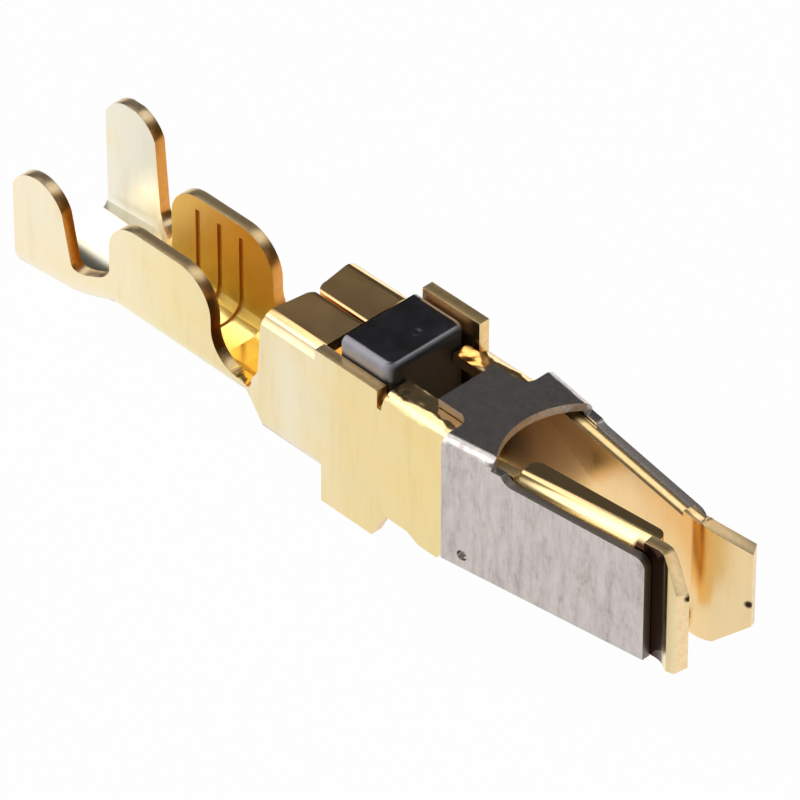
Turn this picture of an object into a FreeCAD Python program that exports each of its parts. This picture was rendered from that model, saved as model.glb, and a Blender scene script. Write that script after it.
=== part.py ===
import FreeCAD, Part
import math
import os
import Sketcher
from FreeCAD import Placement, Rotation, Vector

# The contact is drawn in its working frame: X runs from the wire end to the mating end, Y from the near
# side to the far side, Z up. Station 0 is the rear edge of the keying tabs, height 0 the underside of the
# floor. Each body is then placed so that the origin is the middle of the footprint, level with the tab tips.

SIZES = [
    ("strip_gauge", 0.33, "thickness of the plated strip"),
    ("spring_gauge", 0.24, "thickness of the steel spring strip"),
    ("box_width", 3.35, "outer width of the box section"),
    ("box_height", 3.72, "outer height of the box section over its flaps"),
    ("box_bend", 0.45, "outer radius of the box bends"),
    ("box_tail", 2.15, "how far the box reaches behind the keying tabs"),
    ("flap_setback", 0.2, "rear flap front edge behind the tab edge"),
    ("flap_seam", 0.08, "gap between the two rear flaps"),
    ("flap_step", 0.12, "rear flap edge in front of the box back"),
    ("near_flap_round", 0.3, "rear corner radius of the near rear flap"),
    ("far_flap_round", 0.45, "rear corner radius of the far rear flap"),
    ("window_length", 2.35, "length of the window in the top of the box"),
    ("slit_width", 0.15, "relief slit in front of a raised wall edge"),
    ("near_rail_height", 3.8, "top of the near wall along the window"),
    ("guard_start", 0.45, "rear edge of the guard on the far wall"),
    ("guard_length", 2.0, "length of the guard"),
    ("guard_height", 4.45, "top of the guard"),
    ("front_flap_gap", 1.5, "opening between the two front flaps"),
    ("root_station", 4.4, "where the walls leave the box as beams"),
    ("floor_relief", 0.6, "width of floor cut away beside each keying tab"),
    ("tab_depth", 0.86, "keying tab below the floor"),
    ("tab_length", 1.8, "keying tab length at its tip"),
    ("tab_ramp", 0.45, "run of the sloping front edge of the keying tab"),
    ("heel_start", 3.05, "where the heel in front of the tab begins"),
    ("heel_depth", 0.2, "heel below the floor"),
    ("heel_length", 1.05, "length of the heel"),
    ("neck_length", 2.3, "from the box back to the wire barrel"),
    ("neck_height", 0.72, "height of the sheet sides in the neck"),
    ("neck_round", 1.0, "hollow in front of the wire wings"),
    ("tail_rise", 1.25, "height where the box back edge starts to climb"),
    ("tail_reach", 0.6, "how far the lower box edge reaches behind the box"),
    ("shoulder_rise", 0.54, "further climb to the shoulder in the box back edge"),
    ("shoulder_reach", 0.2, "how far that shoulder reaches behind the box"),
    ("barrel_length", 3.75, "length of the wire barrel"),
    ("barrel_width", 2.46, "outer width of the wire barrel"),
    ("barrel_height", 3.14, "height of the wire barrel wings"),
    ("barrel_bend", 0.85, "outer corner radius of the wire barrel"),
    ("barrel_rear_round", 1.0, "rear top corner radius of the wire wings"),
    ("barrel_front_round", 1.15, "front top corner radius of the wire wings"),
    ("groove_count", 3, "transverse grooves inside the wire barrel"),
    ("groove_width", 0.16, "width of a groove"),
    ("groove_depth", 0.07, "depth of a groove"),
    ("groove_pitch", 0.8, "distance from groove to groove"),
    ("groove_setback", 0.9, "first groove in front of the barrel back"),
    ("groove_top", 2.75, "height at which the grooves end"),
    ("waist_length", 1.15, "gap between wire barrel and insulation grip"),
    ("waist_height", 1.07, "height of the sheet sides in that gap"),
    ("waist_round", 0.41, "hollow corners of that gap"),
    ("grip_length", 1.85, "length of the insulation grip"),
    ("grip_width", 3.5, "outer width of the insulation grip"),
    ("grip_bend", 1.0, "outer corner radius of the insulation grip at its front"),
    ("grip_back_bend", 0.72, "outer corner radius of the insulation grip at its back"),
    ("near_grip_height", 3.4, "height of the near insulation wing"),
    ("far_grip_height", 4.0, "height of the far insulation wing"),
    ("grip_dome", 1.0, "radius of the domed top of each insulation wing"),
    ("grip_dome_rise", 0.6, "height of that dome"),
    ("grip_slant", 0.2, "slant of the front edge of each insulation wing"),
    ("beam_bottom", 0.22, "underside of the beams"),
    ("beam_top", 3.6, "top of the beams"),
    ("beam_angle", 8.0, "degrees that each beam leans to the middle"),
    ("beam_bend", 0.45, "outer radius where a beam turns into its flange"),
    ("contact_station", 10.95, "where the beams come closest"),
    ("contact_bend", 0.7, "hollow radius of the contact bend"),
    ("flare_angle", 30.0, "degrees that each lead-in flares outwards"),
    ("flare_length", 1.31, "length of a lead-in"),
    ("near_lead_in_top", 3.6, "top of the near lead-in where it begins"),
    ("far_lead_in_top", 3.78, "top of the far lead-in where it begins"),
    ("lead_in_tip_top", 3.16, "top of both lead-ins at their front edge"),
    ("flare_lift", 0.7, "rise of the bottom edge of a lead-in"),
    ("flare_lift_start", 0.3, "where that rise begins, in front of the contact bend"),
    ("flange_start", 6.35, "rear end of the stiffening flanges"),
    ("flange_end", 10.5, "front end of the stiffening flanges"),
    ("flange_edge_rear", 0.5, "flange edge to middle plane at its rear"),
    ("flange_edge_front", 0.2, "flange edge to middle plane at its front"),
    ("flange_round", 0.28, "corner radius of the flanges"),
    ("hood_clearance", 0.02, "gap between the spring hood and the box and beams"),
    ("hood_back", 4.5, "rear edge of the spring hood sides"),
    ("hood_front", 10.57, "front edge of the spring blades"),
    ("hood_bend", 0.3, "outer bend radius of the spring hood"),
    ("near_blade_top", 3.45, "top edge of the near spring blade at its rear"),
    ("near_blade_tip_top", 3.3, "top edge of the near spring blade at its front"),
    ("far_blade_top", 3.6, "top edge of the far spring blade at its rear"),
    ("far_blade_tip_top", 3.58, "top edge of the far spring blade at its front"),
    ("blade_bottom", 0.2, "bottom edge of the spring blades"),
    ("blade_round", 0.3, "front top corner radius of the blades"),
    ("cheek_front", 6.25, "front edge of the hood sides above the blades"),
    ("cheek_round", 0.4, "hollow corner between hood side and blade"),
    ("arch_depth", 0.85, "from the front of the hood sides back to the middle of the arch"),
    ("arch_rise", 0.6, "how far that arch curves from its middle to its ends"),
    ("tongue_width", 1.9, "width of the tongue behind the hood"),
    ("tongue_length", 1.1, "length of the tongue"),
    ("tongue_round", 0.35, "hollow corner at the tongue root"),
    ("dimple_station", 5.14, "dimple in each blade along the contact"),
    ("dimple_level", 0.6, "height of the dimple"),
    ("dimple_width", 0.3, "diameter of the dimple"),
    ("dimple_depth", 0.1, "depth of the dimple"),
    ("latch_clearance", 0.05, "gap between latch and box walls"),
    ("latch_start", 0.36, "rear face of the latch"),
    ("latch_length", 1.74, "length of the latch"),
    ("latch_height", 4.3, "top of the latch"),
    ("latch_wall", 0.3, "wall of the latch"),
    ("latch_corner", 0.35, "radius of the front corners of the latch"),
    ("latch_round", 0.2, "rounding along the top edges of the latch"),
    ("mark_setback", 0.64, "round mark in the top of the latch, behind its front face"),
    ("mark_offset", 0.16, "that mark to the middle plane"),
    ("mark_width", 0.34, "diameter of the mark"),
    ("mark_depth", 0.04, "depth of the mark"),
]

SHEET = "Sizes"
OVERRUN = 1.0  # how far a cutting outline runs past the material
EASE = 0.15  # share of the narrowing that is done at either end of the waist


class Size:
    """A length or angle that carries its number and the sheet formula that drives it."""

    def __init__(self, value, formula):
        self.value = value
        self.formula = formula

    def combined(self, other, sign, swap=False):
        other = other if isinstance(other, Size) else Size(float(other), repr(float(other)))
        left, right = (other, self) if swap else (self, other)
        results = {
            "+": left.value + right.value,
            "-": left.value - right.value,
            "*": left.value * right.value,
        }
        value = left.value / right.value if sign == "/" else results[sign]
        return Size(value, f"({left.formula} {sign} {right.formula})")

    def __add__(self, other):
        return self.combined(other, "+")

    def __radd__(self, other):
        return self.combined(other, "+", True)

    def __sub__(self, other):
        return self.combined(other, "-")

    def __rsub__(self, other):
        return self.combined(other, "-", True)

    def __mul__(self, other):
        return self.combined(other, "*")

    def __rmul__(self, other):
        return self.combined(other, "*", True)

    def __truediv__(self, other):
        return self.combined(other, "/")

    def __neg__(self):
        return Size(0.0, "0.0") - self


def sine(angle):
    return Size(math.sin(math.radians(angle.value)), f"sin({angle.formula})")


def cosine(angle):
    return Size(math.cos(math.radians(angle.value)), f"cos({angle.formula})")


def tangent(angle):
    return Size(math.tan(math.radians(angle.value)), f"tan({angle.formula})")


def fixed(number):
    return Size(float(number), repr(float(number)))


doc = FreeCAD.newDocument("crimp_socket_contact")
sheet = doc.addObject("Spreadsheet::Sheet", SHEET)
for row, (alias, number, meaning) in enumerate(SIZES, start=1):
    sheet.set(f"A{row}", meaning)
    sheet.set(f"B{row}", str(number))
    sheet.setAlias(f"B{row}", alias)
doc.recompute()


def size(alias):
    return Size(float(sheet.get(alias)), f"{SHEET}.{alias}")


def origin_plane(body, role):
    return next(item for item in body.Origin.OriginFeatures if item.Role == role)


def corner(x, y, radius=None, turn="left"):
    """A corner of an outline. With a radius, an arc that turns left or right leads to it."""
    x = x if isinstance(x, Size) else fixed(x)
    y = y if isinstance(y, Size) else fixed(y)
    return x, y, radius, turn


def arc_between(start, end, radius, turn):
    """The minor arc from start to end, and whether it is drawn from its end to its start."""
    chord = end - start
    half = chord.Length / 2
    reach = math.sqrt(max(radius * radius - half * half, 0.0))
    side = Vector(-chord.y, chord.x, 0).normalize() * (1 if turn == "left" else -1)
    centre = start + chord * 0.5 + side * reach
    first = math.atan2(start.y - centre.y, start.x - centre.x)
    last = math.atan2(end.y - centre.y, end.x - centre.x)
    circle = Part.Circle(centre, Vector(0, 0, 1), radius)
    if turn == "left":
        return Part.ArcOfCircle(circle, first, last), False
    return Part.ArcOfCircle(circle, last, first), True


def draw(sketch, corners):
    """Draw one closed loop through the corners, each of them tied to the sheet."""
    points = [Vector(x.value, y.value, 0) for x, y, radius, turn in corners]
    edges = []
    for index, (x, y, radius, turn) in enumerate(corners):
        start, end = points[index - 1], points[index]
        if radius is None:
            number = sketch.addGeometry(Part.LineSegment(start, end), False)
            edges.append((number, 1, 2))
            continue
        arc, backwards = arc_between(start, end, radius.value, turn)
        number = sketch.addGeometry(arc, False)
        edges.append((number, 2, 1) if backwards else (number, 1, 2))
        drive(sketch, Sketcher.Constraint("Radius", number, radius.value), radius)
    for index, (number, first, last) in enumerate(edges):
        following, start, end = edges[(index + 1) % len(edges)]
        sketch.addConstraint(Sketcher.Constraint("Coincident", number, last, following, start))
        x, y = corners[index][0], corners[index][1]
        drive(sketch, Sketcher.Constraint("DistanceX", -1, 1, number, last, x.value), x)
        drive(sketch, Sketcher.Constraint("DistanceY", -1, 1, number, last, y.value), y)


def drive(sketch, constraint, amount):
    """Add a dimension and let the sheet drive it."""
    index = sketch.addConstraint(constraint)
    sketch.setExpression(f"Constraints[{index}]", amount.formula)


def new_sketch(body, name, role, loops, shift=None, across=None, swing=None):
    """A sketch on an origin plane, moved along its normal by shift, sideways by across, turned by swing."""
    sketch = body.newObject("Sketcher::SketchObject", name)
    sketch.AttachmentSupport = [(origin_plane(body, role), "")]
    sketch.MapMode = "FlatFace"
    turned = Rotation(Vector(0, 1, 0), swing.value if swing else 0.0)
    base = Vector(across.value if across else 0.0, 0, shift.value if shift else 0.0)
    sketch.AttachmentOffset = Placement(base, turned)
    if shift:
        sketch.setExpression("AttachmentOffset.Base.z", shift.formula)
    if across:
        sketch.setExpression("AttachmentOffset.Base.x", across.formula)
    if swing:
        sketch.setExpression("AttachmentOffset.Rotation.Angle", swing.formula)
    for loop in loops:
        draw(sketch, loop)
    return sketch


def settle(body, feature):
    """Make the feature the body's result, and stop if it gives no sound shape."""
    body.Tip = feature
    doc.recompute()
    if "Invalid" in feature.State or feature.Shape.isNull() or not feature.Shape.isValid():
        raise RuntimeError(f"{feature.Name} is in state {feature.State}")
    return feature


def pad(body, name, sketch, length, reverse=False, middle=False):
    feature = body.newObject("PartDesign::Pad", name)
    feature.Profile = sketch
    feature.Length = length.value
    feature.setExpression("Length", length.formula)
    feature.Reversed = reverse
    feature.Midplane = middle
    return settle(body, feature)


def pocket(body, name, sketch, length, reverse=False, middle=False):
    """Cut a sketch out of the body, and stop if it removes nothing."""
    before = body.Tip.Shape.Volume
    feature = body.newObject("PartDesign::Pocket", name)
    feature.Profile = sketch
    feature.Length = length.value
    feature.setExpression("Length", length.formula)
    feature.Reversed = reverse
    feature.Midplane = middle
    settle(body, feature)
    if feature.Shape.Volume >= before:
        raise RuntimeError(f"{name} cuts nothing")
    return feature


def rectangle(left, right, low, high):
    return [corner(left, low), corner(right, low), corner(right, high), corner(left, high)]


def circle(x, y, radius):
    """A round outline of four quarter arcs."""
    return [
        corner(x + radius, y, radius, "left"),
        corner(x, y + radius, radius, "left"),
        corner(x - radius, y, radius, "left"),
        corner(x, y - radius, radius, "left"),
    ]


def turned_over(corners):
    """The same loop on the other side of the sketch's horizontal axis."""
    flipped = {"left": "right", "right": "left"}
    return [(x, -y, radius, flipped[turn]) for x, y, radius, turn in corners]


def side_cut(body, name, loop, near=True, far=True):
    """Cut an outline seen from the side out of the near wall, the far wall or both."""
    sketch = new_sketch(body, f"{name}_outline", "XZ_Plane", [loop])
    reach = size("box_width") + OVERRUN
    if near and far:
        return pocket(body, name, sketch, 2 * reach, middle=True)
    return pocket(body, name, sketch, reach, reverse=near)


# Stations and levels that follow from the sizes
gauge = size("strip_gauge")
half_box = size("box_width") / 2
box_top = size("box_height")
box_bend = size("box_bend")
box_back = -size("box_tail")
window_start = -size("flap_setback")
window_end = window_start + size("window_length")
root = size("root_station")
barrel_front = box_back - size("neck_length")
barrel_back = barrel_front - size("barrel_length")
grip_front = barrel_back - size("waist_length")
grip_back = grip_front - size("grip_length")
guard_end = size("guard_start") + size("guard_length")
clear_height = size("far_grip_height") + size("guard_height") + OVERRUN
lean = size("beam_angle")
flare = size("flare_angle")
contact = size("contact_station")
inner_at_contact = half_box - gauge / cosine(lean) - (contact - root) * tangent(lean)
half_turn = (lean + flare) / 2
bend_run = (size("contact_bend") + gauge) * tangent(half_turn)
flange_root = size("flange_start") + (gauge + size("beam_bend")) * sine(lean)
mating_end = contact + size("flare_length") * cosine(flare)


def trough(half, bend, height):
    """Section of a folded trough one gauge thick: straight sides, round bottom corners, open at the top."""
    hollow = bend - gauge
    return [
        corner(-half, height),
        corner(-half, bend),
        corner(bend - half, 0, bend, "left"),
        corner(half - bend, 0),
        corner(half, bend, bend, "left"),
        corner(half, height),
        corner(half - gauge, height),
        corner(half - gauge, bend),
        corner(half - bend, gauge, hollow, "right"),
        corner(bend - half, gauge),
        corner(gauge - half, bend, hollow, "right"),
        corner(gauge - half, height),
    ]


def closed_section():
    """Section of the box: a trough whose sides fold over into two flaps that meet at the seam."""
    hollow = box_bend - gauge
    seam = size("flap_seam") / 2
    below = box_top - gauge
    return [
        corner(-seam, box_top),
        corner(box_bend - half_box, box_top),
        corner(-half_box, box_top - box_bend, box_bend, "left"),
        corner(-half_box, box_bend),
        corner(box_bend - half_box, 0, box_bend, "left"),
        corner(half_box - box_bend, 0),
        corner(half_box, box_bend, box_bend, "left"),
        corner(half_box, box_top - box_bend),
        corner(half_box - box_bend, box_top, box_bend, "left"),
        corner(seam, box_top),
        corner(seam, below),
        corner(half_box - box_bend, below),
        corner(half_box - gauge, box_top - box_bend, hollow, "right"),
        corner(half_box - gauge, box_bend),
        corner(half_box - box_bend, gauge, hollow, "right"),
        corner(box_bend - half_box, gauge),
        corner(gauge - half_box, box_bend, hollow, "right"),
        corner(gauge - half_box, box_top - box_bend),
        corner(box_bend - half_box, below, hollow, "right"),
        corner(-seam, below),
    ]


def add_crimp_trough(body):
    """The rear of the strip: insulation grip, waist, wire barrel and neck, lofted through trough sections."""
    height = size("far_grip_height")
    half_barrel = size("barrel_width") / 2
    half_grip = size("grip_width") / 2
    flow = size("waist_length") / 4
    sweep = size("neck_length") / 4
    ease = (half_grip - half_barrel) * EASE
    middle_bend = (size("barrel_bend") + box_bend) / 2
    stations = [
        ("grip_back", grip_back, half_grip, size("grip_back_bend")),
        ("grip_front", grip_front, half_grip, size("grip_bend")),
        ("waist_rear", grip_front + flow, half_grip - ease, size("grip_bend")),
        ("waist_front", barrel_back - flow, half_barrel + ease, size("barrel_bend")),
        ("barrel_back", barrel_back, half_barrel, size("barrel_bend")),
        ("barrel_front", barrel_front, half_barrel, size("barrel_bend")),
        ("neck_rear", barrel_front + sweep * 2, half_barrel, size("barrel_bend")),
        ("neck_middle", barrel_front + sweep * 3, (half_barrel + half_box) / 2, middle_bend),
        ("box_back", box_back, half_box, box_bend),
    ]
    sections = []
    for name, station, half, bend in stations:
        loop = trough(half, bend, height)
        sections.append(new_sketch(body, f"section_{name}", "YZ_Plane", [loop], shift=station))
    doc.recompute()
    loft = body.newObject("PartDesign::AdditiveLoft", "crimp_trough")
    loft.Profile = sections[0]
    loft.Sections = sections[1:]
    loft.Ruled = True
    settle(body, loft)


def wing_outline(grip_height):
    """Everything above the top edge of the strip, seen from the side, for one side of the crimp."""
    dome = size("grip_dome")
    shoulder = grip_height - size("grip_dome_rise")
    waist = size("waist_height")
    slant = size("grip_slant")
    waist_round = size("waist_round")
    rear_round = size("barrel_rear_round")
    front_round = size("barrel_front_round")
    top = size("barrel_height")
    neck = size("neck_height")
    hollow = size("neck_round")
    reach = box_back - size("tail_reach")
    rise = size("tail_rise")
    tail_round = rise - neck
    return [
        corner(grip_back - OVERRUN, clear_height),
        corner(grip_back - OVERRUN, shoulder),
        corner(grip_back, shoulder),
        corner(grip_front, shoulder, dome, "right"),
        corner(grip_front + slant, waist + waist_round),
        corner(grip_front + slant + waist_round, waist, waist_round, "left"),
        corner(barrel_back - waist_round, waist),
        corner(barrel_back, waist + waist_round, waist_round, "left"),
        corner(barrel_back, top - rear_round),
        corner(barrel_back + rear_round, top, rear_round, "right"),
        corner(barrel_front - front_round, top),
        corner(barrel_front, top - front_round, front_round, "right"),
        corner(barrel_front, neck + hollow),
        corner(barrel_front + hollow, neck, hollow, "left"),
        corner(reach - tail_round, neck),
        corner(reach, rise, tail_round, "left"),
        corner(box_back - size("shoulder_reach"), rise + size("shoulder_rise")),
        corner(box_back, box_top - box_bend),
        corner(box_back, clear_height),
    ]


def add_grooves(body):
    """Transverse grooves pressed into the inside of the wire barrel, so that the crimp bites the strands."""
    half = size("barrel_width") / 2
    bend = size("barrel_bend")
    top = size("groove_top")
    deep = gauge - size("groove_depth")
    shallow = gauge + size("groove_depth")
    loop = [
        corner(deep - half, top),
        corner(deep - half, bend),
        corner(bend - half, deep, bend - deep, "left"),
        corner(half - bend, deep),
        corner(half - deep, bend, bend - deep, "left"),
        corner(half - deep, top),
        corner(half - shallow, top),
        corner(half - shallow, bend),
        corner(half - bend, shallow, bend - shallow, "right"),
        corner(bend - half, shallow),
        corner(shallow - half, bend, bend - shallow, "right"),
        corner(shallow - half, top),
    ]
    station = barrel_back + size("groove_setback")
    sketch = new_sketch(body, "groove_outline", "YZ_Plane", [loop], shift=station)
    groove = pocket(body, "groove", sketch, size("groove_width"), reverse=True)
    pattern = body.newObject("PartDesign::LinearPattern", "grooves")
    pattern.Originals = [groove]
    axis = next(item for item in body.Origin.OriginFeatures if item.Role == "X_Axis")
    pattern.Direction = (axis, [""])
    spread = size("groove_pitch") * (size("groove_count") - 1)
    pattern.Length = spread.value
    pattern.setExpression("Length", spread.formula)
    pattern.Occurrences = int(size("groove_count").value)
    pattern.setExpression("Occurrences", size("groove_count").formula)
    settle(body, pattern)


def add_box(body):
    """The box section and what is cut out of its top and floor."""
    sketch = new_sketch(body, "box_section", "YZ_Plane", [closed_section()], shift=box_back)
    pad(body, "box", sketch, root - box_back)

    wide = half_box + OVERRUN
    shoulder = box_top - box_bend
    opening = rectangle(window_start, window_end, -wide, wide)
    sketch = new_sketch(body, "window_outline", "XY_Plane", [opening], shift=shoulder)
    pocket(body, "window", sketch, clear_height, reverse=True)

    slit_end = guard_end + size("slit_width")
    relief = rectangle(window_end - size("slit_width"), slit_end, half_box - box_bend, wide)
    sketch = new_sketch(body, "guard_relief_outline", "XY_Plane", [relief], shift=shoulder)
    pocket(body, "guard_relief", sketch, clear_height, reverse=True)

    gap = size("front_flap_gap") / 2
    between = rectangle(window_end - OVERRUN / 4, root + OVERRUN, -gap, gap)
    sketch = new_sketch(body, "front_gap_outline", "XY_Plane", [between], shift=shoulder)
    pocket(body, "front_gap", sketch, clear_height, reverse=True)

    near = size("near_flap_round")
    far = size("far_flap_round")
    edge = box_back + size("flap_step")
    flat = half_box - box_bend
    notch = [
        corner(box_back - OVERRUN, -flat),
        corner(box_back, -flat),
        corner(edge, -near),
        corner(edge + near, 0, near, "right"),
        corner(edge, far, far, "right"),
        corner(box_back, flat),
        corner(box_back - OVERRUN, flat),
    ]
    sketch = new_sketch(body, "flap_corners_outline", "XY_Plane", [notch], shift=shoulder)
    pocket(body, "flap_corners", sketch, clear_height, reverse=True)

    for side, name in ((-1, "near"), (1, "far")):
        outer = side * (half_box + OVERRUN)
        inner = side * (half_box - size("floor_relief"))
        low, high = (outer, inner) if side < 0 else (inner, outer)
        strip = rectangle(fixed(0), root + OVERRUN, low, high)
        sketch = new_sketch(body, f"{name}_floor_relief_outline", "XY_Plane", [strip])
        pocket(body, f"{name}_floor_relief", sketch, size("tab_depth"), reverse=True)


def add_wall_edges(body):
    """Flat wall left standing: keying tabs and heels below, the near rail and the far guard above."""
    tip = -size("tab_depth")
    tab_end = size("tab_length")
    toe = tab_end + size("tab_ramp")
    heel = size("heel_start")
    heel_end = heel + size("heel_length")
    slope = size("heel_depth") * 2
    cover = size("tab_depth") + gauge
    foot = [
        corner(0, cover),
        corner(0, tip),
        corner(tab_end, tip),
        corner(toe, 0),
        corner(heel, 0),
        corner(heel + slope, -size("heel_depth")),
        corner(heel_end, -size("heel_depth")),
        corner(root, size("beam_bottom")),
        corner(root, cover),
    ]
    seat = box_top - box_bend - gauge
    rail = rectangle(window_start, window_end - size("slit_width"), seat, size("near_rail_height"))
    guard = rectangle(size("guard_start"), guard_end, seat, size("guard_height"))
    plates = (
        ("near_foot", -1, foot),
        ("far_foot", 1, foot),
        ("near_rail", -1, rail),
        ("far_guard", 1, guard),
    )
    for name, side, loop in plates:
        face = -side * half_box
        sketch = new_sketch(body, f"{name}_outline", "XZ_Plane", [loop], shift=face)
        pad(body, name, sketch, gauge, reverse=side < 0)


def add_beam(body, name, side):
    """One contact beam: a leaning web that gains a flange, above on the near beam, below on the far one."""
    low = size("beam_bottom")
    high = size("beam_top")
    bend = size("beam_bend")
    hollow = bend - gauge
    width = half_box - size("flange_edge_front") / 2
    if side < 0:
        web = rectangle(0, gauge, low, high)
        flanged = [
            corner(0, low),
            corner(gauge, low),
            corner(gauge, high - bend),
            corner(bend, high - gauge, hollow, "right"),
            corner(width, high - gauge),
            corner(width, high),
            corner(bend, high),
            corner(0, high - bend, bend, "left"),
        ]
    else:
        web = rectangle(-gauge, 0, low, high)
        flanged = [
            corner(0, high),
            corner(-gauge, high),
            corner(-gauge, low + bend),
            corner(-bend, low + gauge, hollow, "right"),
            corner(-width, low + gauge),
            corner(-width, low),
            corner(-bend, low),
            corner(0, low + bend, bend, "left"),
        ]
    stretches = (
        ("web", web, root, (flange_root - root) / cosine(lean)),
        ("beam", flanged, flange_root, (contact - flange_root) / cosine(lean) - bend_run),
    )
    for stretch, loop, station, length in stretches:
        face = side * (half_box - (station - root) * tangent(lean))
        sketch = new_sketch(
            body, f"{name}_{stretch}_section", "YZ_Plane", [loop],
            shift=station, across=face, swing=-side * lean,
        )
        pad(body, f"{name}_{stretch}", sketch, length)


def trim_flange(body, name, side):
    """Cut the flange of one beam to its tapered outline with round corners."""
    start = size("flange_start")
    end = size("flange_end")
    curve = size("flange_round")
    rear = size("flange_edge_rear")
    front = size("flange_edge_front")
    past = half_box + OVERRUN
    behind = start - half_box
    inside = half_box - gauge - size("beam_bend") - (start - root) * tangent(lean)
    inside_front = inner_at_contact + gauge / 2
    loop = [
        corner(behind, -past),
        corner(mating_end, -past),
        corner(mating_end, inside_front),
        corner(end, inside_front),
        corner(end, front + curve),
        corner(end - curve, front, curve, "right"),
        corner(start + curve, rear),
        corner(start, rear + curve, curve, "right"),
        corner(start, inside),
        corner(behind, inside),
    ]
    if side < 0:
        loop = turned_over(loop)
    level = size("beam_top") - gauge if side < 0 else size("beam_bottom")
    sketch = new_sketch(body, f"{name}_flange_outline", "XY_Plane", [loop], shift=level)
    pocket(body, f"{name}_flange_trim", sketch, gauge, reverse=True)


def add_lead_in(body, name, side):
    """Contact bend and flared lead-in of one beam, drawn from above as a strip of one gauge."""
    bisector = (flare - lean) / 2
    hollow = size("contact_bend")
    crown = hollow + gauge
    offset = gauge / cosine(half_turn)
    outer_x = contact - offset * sine(bisector)
    outer_y = inner_at_contact + offset * cosine(bisector)
    run_out = hollow * tangent(half_turn)
    tail = bend_run + gauge
    length = size("flare_length")
    tip_x = contact + length * cosine(flare)
    tip_y = inner_at_contact + length * sine(flare)
    start_x = contact - tail * cosine(lean)
    start_y = inner_at_contact + tail * sine(lean)
    loop = [
        corner(start_x, start_y),
        corner(contact - bend_run * cosine(lean), inner_at_contact + bend_run * sine(lean)),
        corner(contact + bend_run * cosine(flare), inner_at_contact + bend_run * sine(flare), crown, "left"),
        corner(tip_x, tip_y),
        corner(tip_x - gauge * sine(flare), tip_y + gauge * cosine(flare)),
        corner(outer_x + run_out * cosine(flare), outer_y + run_out * sine(flare)),
        corner(outer_x - run_out * cosine(lean), outer_y + run_out * sine(lean), hollow, "right"),
        corner(start_x + gauge * sine(lean), start_y + gauge * cosine(lean)),
    ]
    if side < 0:
        loop = turned_over(loop)
    low = size("beam_bottom")
    sketch = new_sketch(body, f"{name}_lead_in_outline", "XY_Plane", [loop], shift=low)
    pad(body, f"{name}_lead_in", sketch, size(f"{name}_lead_in_top") - low)


def trim_lead_ins(body):
    """Slope the top and bottom edges of both lead-ins, so that the mouth guides the blade in."""
    low = size("beam_bottom")
    tip = size("lead_in_tip_top")
    past = mating_end + OVERRUN
    bottom_start = contact + size("flare_lift_start")
    for name in ("near", "far"):
        high = size(f"{name}_lead_in_top")
        above = [
            corner(contact, high),
            corner(mating_end, tip),
            corner(past, tip),
            corner(past, high + OVERRUN),
            corner(contact, high + OVERRUN),
        ]
        side_cut(body, f"{name}_lead_in_top", above, near=name == "near", far=name == "far")
    below = [
        corner(bottom_start, low),
        corner(bottom_start, low - OVERRUN),
        corner(past, low - OVERRUN),
        corner(past, low + size("flare_lift")),
        corner(mating_end, low + size("flare_lift")),
    ]
    side_cut(body, "lead_in_bottom", below)


def make_contact_body():
    """The whole plated strip, blanked and folded from one piece."""
    body = doc.addObject("PartDesign::Body", "contact_body")
    add_crimp_trough(body)
    side_cut(body, "near_wings", wing_outline(size("near_grip_height")), far=False)
    side_cut(body, "far_wings", wing_outline(size("far_grip_height")), near=False)
    add_grooves(body)
    add_box(body)
    add_wall_edges(body)
    for name, side in (("near", -1), ("far", 1)):
        add_beam(body, name, side)
        trim_flange(body, name, side)
    for name, side in (("near", -1), ("far", 1)):
        add_lead_in(body, name, side)
    trim_lead_ins(body)
    return body


def hood_section(station):
    """Section of the spring hood at a station: an upturned trough that follows the leaning beams."""
    gap = size("hood_clearance")
    wall = size("spring_gauge")
    bend = size("hood_bend")
    inner = half_box + gap - (station - root) * tangent(lean)
    outer = inner + wall
    top = box_top + gap + wall
    low = size("blade_bottom")
    hollow = bend - wall
    return [
        corner(-outer, low),
        corner(-inner, low),
        corner(-inner, top - bend),
        corner(bend - outer, top - wall, hollow, "right"),
        corner(outer - bend, top - wall),
        corner(inner, top - bend, hollow, "right"),
        corner(inner, low),
        corner(outer, low),
        corner(outer, top - bend),
        corner(outer - bend, top, bend, "left"),
        corner(bend - outer, top),
        corner(-outer, top - bend, bend, "left"),
    ]


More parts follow.
